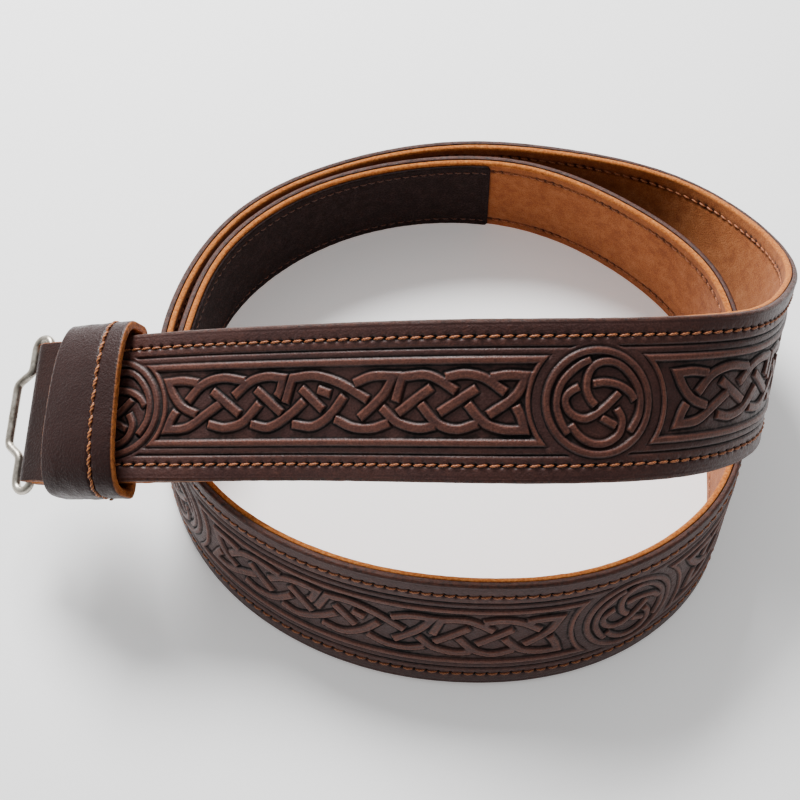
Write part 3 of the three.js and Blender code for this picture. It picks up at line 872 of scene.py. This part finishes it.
class Nodes:
    """Short ways to add and link shader nodes."""

    def __init__(self, name):
        self.material = bpy.data.materials.new(name)
        self.material.use_nodes = True
        self.tree = self.material.node_tree
        self.shader = self.tree.nodes["Principled BSDF"]
        self.where = self.add("ShaderNodeTexCoord").outputs["Object"]

    def add(self, kind, **values):
        node = self.tree.nodes.new(kind)
        for key, value in values.items():
            setattr(node, key, value)
        return node

    def put(self, value, socket):
        """A number or a colour's code is set on the socket, and an output is linked to it."""
        if isinstance(value, (int, float)):
            socket.default_value = value
        elif isinstance(value, str):
            socket.default_value = rgb(value)
        else:
            self.tree.links.new(value, socket)

    def noise(self, scale, detail=2.0, rough=0.5):
        node = self.add("ShaderNodeTexNoise")
        self.put(scale, node.inputs["Scale"])
        self.put(detail, node.inputs["Detail"])
        self.put(rough, node.inputs["Roughness"])
        self.put(self.where, node.inputs["Vector"])
        return node.outputs["Fac"]

    def cells(self, scale):
        node = self.add("ShaderNodeTexVoronoi")
        self.put(scale, node.inputs["Scale"])
        self.put(self.where, node.inputs["Vector"])
        return node.outputs["Distance"]

    def attribute(self, name):
        return self.add("ShaderNodeAttribute", attribute_name=name).outputs["Fac"]

    def math(self, kind, a, b, clamp=False):
        node = self.add("ShaderNodeMath", operation=kind, use_clamp=clamp)
        self.put(a, node.inputs[0])
        self.put(b, node.inputs[1])
        return node.outputs[0]

    def span(self, value, low, high, to_low=0.0, to_high=1.0):
        node = self.add("ShaderNodeMapRange")
        for key, number in (("From Min", low), ("From Max", high), ("To Min", to_low), ("To Max", to_high)):
            self.put(number, node.inputs[key])
        self.put(value, node.inputs["Value"])
        return node.outputs["Result"]

    def ramp(self, value, stops):
        node = self.add("ShaderNodeValToRGB")
        ramp = node.color_ramp
        while len(ramp.elements) < len(stops):
            ramp.elements.new(0.5)
        for element, (place, color) in zip(ramp.elements, stops):
            element.position = place
            element.color = rgb(color)
        self.put(value, node.inputs["Fac"])
        return node.outputs["Color"]

    def mix(self, share, a, b):
        node = self.add("ShaderNodeMix", data_type="RGBA")
        for number, value in ((0, share), (6, a), (7, b)):
            self.put(value, node.inputs[number])
        return node.outputs[2]

    def bump(self, height, strength, distance):
        node = self.add("ShaderNodeBump")
        self.put(strength, node.inputs["Strength"])
        self.put(distance, node.inputs["Distance"])
        self.put(height, node.inputs["Height"])
        self.put(node.outputs["Normal"], self.shader.inputs["Normal"])

    def finish(self, color, roughness, **constants):
        self.put(color, self.shader.inputs["Base Color"])
        self.put(roughness, self.shader.inputs["Roughness"])
        for key, value in constants.items():
            self.put(value, self.shader.inputs[key.replace("_", " ")])
        return self.material


def rgb(code):
    """Linear colour from a hex code."""
    parts = [int(code[i:i + 2], 16) / 255 for i in (1, 3, 5)]
    return tuple(p / 12.92 if p <= 0.04045 else ((p + 0.055) / 1.055) ** 2.4 for p in parts) + (1.0,)


def dark_leather(name, groove, base, relief_tone, edge, edge_worn, grain, shine, gloss=0.29):
    """Antiqued leather: dark in its grooves from its finish and from painted shade, worn reddish on its
    ridges, burnished at its edges.
    """
    n = Nodes(name)
    rubbed_and_shaded = n.math("ADD", n.attribute("relief"), n.span(n.noise(420, 3), 0.3, 0.7, -0.08, 0.08))
    level = n.math("ADD", rubbed_and_shaded, 0.45, clamp=True)
    # The black and groove stops are the antique finish and painted shade in the hollows; the top stop is the
    # wear on ridges
    color = n.ramp(level, [(0.0, "#030101"), (0.14, groove), (0.3, base), (0.52, base), (1.0, relief_tone)])
    color = n.mix(n.span(n.noise(45, 4), 0.4, 0.75, 0.0, 0.35), color, n.mix(0.5, color, relief_tone))
    color = n.mix(n.span(n.noise(1500, 2), 0.42, 0.62, 0.0, 0.3), color, groove)
    rim = n.ramp(n.span(n.noise(620, 5, 0.7), 0.32, 0.68), [(0.0, edge), (0.7, edge_worn), (1.0, edge_worn)])
    color = n.mix(n.attribute("edge"), color, rim)
    pebbles = n.math("ADD", n.math("MULTIPLY", n.cells(1100), 0.9), n.noise(2200, 3))
    fibres = n.math("MULTIPLY", n.math("MULTIPLY", n.noise(1900, 5, 0.75), 3.0), n.attribute("edge"))
    n.bump(n.math("ADD", pebbles, fibres), grain, 0.00028)
    rough = n.span(n.noise(600, 3), 0.25, 0.75, shine - 0.08, shine + 0.12)
    rough = n.math("ADD", rough, n.span(level, 0.3, 0.0, 0.0, 0.35), clamp=True)
    return n.finish(color, rough, Specular_IOR_Level=gloss)


def suede():
    """Tan suede with a fibrous nap, painted shade in its dents, and paler at its cut edges."""
    n = Nodes("tan suede")
    fibres = n.noise(1700, 4, 0.65)
    patches = n.span(n.noise(190, 5, 0.6), 0.25, 0.75)
    color = n.ramp(patches, [(0.0, "#824826"), (0.5, "#a06033"), (1.0, "#b37346")])
    color = n.mix(n.span(fibres, 0.4, 0.64, 0.0, 0.7), color, "#74391a")
    # Painted shade in the stitch gutters and holes
    color = n.mix(n.math("MULTIPLY", n.attribute("relief"), -3.0, clamp=True), color, "#3c1c0c")
    speckles = n.span(n.noise(900, 4, 0.7), 0.3, 0.7)
    rim = n.ramp(speckles, [(0.0, "#8a461c"), (0.5, "#b26a32"), (1.0, "#c88748")])
    color = n.mix(n.attribute("edge"), color, rim)
    n.bump(fibres, 0.9, 0.0004)
    return n.finish(color, 0.92, Sheen_Weight=0.08, Sheen_Roughness=0.5, Specular_IOR_Level=0.1)


def thread(name, low, middle, high):
    """Waxed thread, with painted shade between its twisted strands and a painted highlight on their crowns.
    """
    n = Nodes(name)
    color = n.ramp(n.span(n.attribute("relief"), -1.0, 1.0), [(0.0, low), (0.45, middle), (1.0, high)])
    color = n.mix(n.span(n.noise(500, 2), 0.35, 0.7, 0.0, 0.35), color, low)
    n.bump(n.noise(4200, 2), 0.3, 0.0001)
    return n.finish(color, 0.55)


def nickel():
    """Antique nickel with dull tarnished patches."""
    n = Nodes("antique nickel")
    tarnish = n.span(n.noise(230, 5, 0.6), 0.35, 0.75)
    color = n.ramp(tarnish, [(0.0, "#c9c3b8"), (0.6, "#a49c90"), (1.0, "#6e665c")])
    n.bump(n.noise(900, 4, 0.6), 0.22, 0.0002)
    return n.finish(color, n.span(n.noise(700, 4), 0.3, 0.7, 0.26, 0.46), Metallic=1.0)


def patch_cloth():
    """Dark looped cloth of the fastening patch."""
    n = Nodes("looped patch")
    loops = n.cells(1150)
    color = n.ramp(n.span(loops, 0.1, 0.8), [(0.0, "#120c0c"), (1.0, "#342827")])
    color = n.mix(n.span(n.noise(200, 3), 0.35, 0.7, 0.0, 0.5), color, "#150e0c")
    n.bump(n.math("ADD", loops, n.noise(2600, 3)), 0.8, 0.0004)
    return n.finish(color, 0.95, Specular_IOR_Level=0.1)


FACE_LEATHER = dark_leather("face leather", groove="#120807", base="#402724", relief_tone="#6f4234",
                            edge="#1a0c0a", edge_worn="#4a261a", grain=0.4, shine=0.45)
KEEPER_LEATHER = dark_leather("keeper leather", groove="#100605", base="#29120f", relief_tone="#40221c",
                              edge="#57290f", edge_worn="#a8622c", grain=0.5, shine=0.38)
FOLD_LEATHER = dark_leather("fold leather", groove="#0c0504", base="#23110e", relief_tone="#57291c",
                            edge="#54260f", edge_worn="#95552d", grain=0.5, shine=0.46, gloss=0.22)
SUEDE = suede()
THREAD = thread("waxed thread", "#47200c", "#96502a", "#cc8648")
DARK_THREAD = thread("dark thread", "#1c0d07", "#4a2816", "#7a4628")
NICKEL = nickel()
PATCH_CLOTH = patch_cloth()


# The face ply's lengths: name, where each ends, and the steps of its mesh along and across
FACE_LENGTHS = [
    ("face_front_a", 190, 0.38, 0.38),
    ("face_front_b", 352, 0.38, 0.38),
    ("face_turn", 836, 0.95, 0.62),
    ("face_low", 1096, 0.5, 0.5),
    ("face_inner", route.length, 0.9, 0.7),
]
start = FACE_START
for name, end, step, band_step in FACE_LENGTHS:
    face_piece(name, start, end, step, band_step, caps=(start == FACE_START, end == route.length))
    start = end
lining_piece()
PATCH_TOP = HALF_THICKNESS + PATCH_GAP + PATCH_THICKNESS
strap_stitches("face_thread", -HALF_THICKNESS - FACE_THREAD_RISE, -1, FACE_START, STITCH_END, THREAD, 71)
strap_stitches("lining_thread", HALF_THICKNESS - LINING_THREAD_SINK, 1, FACE_START, PATCH_START - THREAD_GAP,
               THREAD, 72)
strap_stitches("patch_thread", PATCH_TOP - PATCH_THREAD_SINK, 1, PATCH_START + THREAD_GAP, STITCH_END,
               DARK_THREAD, 73)
keeper_piece()
keeper_stitches()
fold_piece()
wire_piece()
patch_piece()


FLOOR_REACH = 4.0
FLOOR_GREY = 0.93
FLOOR_GLOW = 0.28
WALL_DIRECTION = (-0.3, 0.95, 0)
ROOM_LIGHT = 0.2
WALL_LIGHT = 1.15
CAMERA_ELEVATION = math.radians(55)
CAMERA_DISTANCE = 521.0
SENSOR_WIDTH = 36
FOCAL_PIXELS = 1125
PHOTO_PIXELS = 800


def stage_floor():
    """A pale floor that glows a little, as in an overlit product photograph."""
    far = FLOOR_REACH
    mesh = bpy.data.meshes.new("floor")
    mesh.from_pydata([(-far, -far, 0), (far, -far, 0), (far, far, 0), (-far, far, 0)], [], [(0, 1, 2, 3)])
    material = bpy.data.materials.new("pale floor")
    material.use_nodes = True
    shader = material.node_tree.nodes["Principled BSDF"]
    shader.inputs["Base Color"].default_value = (FLOOR_GREY, FLOOR_GREY, FLOOR_GREY, 1)
    shader.inputs["Roughness"].default_value = 0.9
    shader.inputs["Specular IOR Level"].default_value = 0.1
    shader.inputs["Emission Color"].default_value = (1, 1, 1, 1)
    shader.inputs["Emission Strength"].default_value = FLOOR_GLOW
    mesh.materials.append(material)
    floor = bpy.data.objects.new("floor", mesh)
    bpy.context.scene.collection.objects.link(floor)


def area_light(name, place, target, size, watts):
    """A round lamp at place that shines on target."""
    data = bpy.data.lights.new(name, "AREA")
    data.shape = "DISK"
    data.size = size
    data.energy = watts
    lamp = bpy.data.objects.new(name, data)
    lamp.location = place
    lamp.rotation_mode = "QUATERNION"
    lamp.rotation_quaternion = (lamp.location - Vector(target)).to_track_quat("Z", "Y")
    bpy.context.scene.collection.objects.link(lamp)


def studio_world():
    """A bright studio wall behind the belt, brightest on the left, and a darker room in front of it."""
    world = bpy.data.worlds.new("studio")
    world.use_nodes = True
    nodes, links = world.node_tree.nodes, world.node_tree.links
    facing = nodes.new("ShaderNodeVectorMath")
    facing.operation = "DOT_PRODUCT"
    facing.inputs[1].default_value = WALL_DIRECTION
    links.new(nodes.new("ShaderNodeTexCoord").outputs["Generated"], facing.inputs[0])
    wall = nodes.new("ShaderNodeMapRange")
    limits = (("From Min", -0.5), ("From Max", 0.7), ("To Min", ROOM_LIGHT), ("To Max", WALL_LIGHT))
    for key, number in limits:
        wall.inputs[key].default_value = number
    links.new(facing.outputs["Value"], wall.inputs["Value"])
    links.new(wall.outputs["Result"], nodes["Background"].inputs["Strength"])
    nodes["Background"].inputs["Color"].default_value = (1, 1, 1, 1)
    bpy.context.scene.world = world


def photo_camera():
    """The photograph's camera. It looks down at the coil's middle."""
    back = np.array([0, -math.cos(CAMERA_ELEVATION), math.sin(CAMERA_ELEVATION)])
    data = bpy.data.cameras.new("camera")
    data.sensor_width = SENSOR_WIDTH
    data.lens = SENSOR_WIDTH * FOCAL_PIXELS / PHOTO_PIXELS
    data.clip_start = 0.01
    data.clip_end = 20
    camera = bpy.data.objects.new("camera", data)
    camera.location = (back * CAMERA_DISTANCE + BELT_SHIFT) * MM
    camera.rotation_euler = (math.pi / 2 - CAMERA_ELEVATION, 0, 0)
    bpy.context.scene.collection.objects.link(camera)
    bpy.context.scene.camera = camera


stage_floor()
area_light("key", place=(-0.3, 0.75, 1.0), target=(0, 0, 0.05), size=0.55, watts=37)
studio_world()
photo_camera()
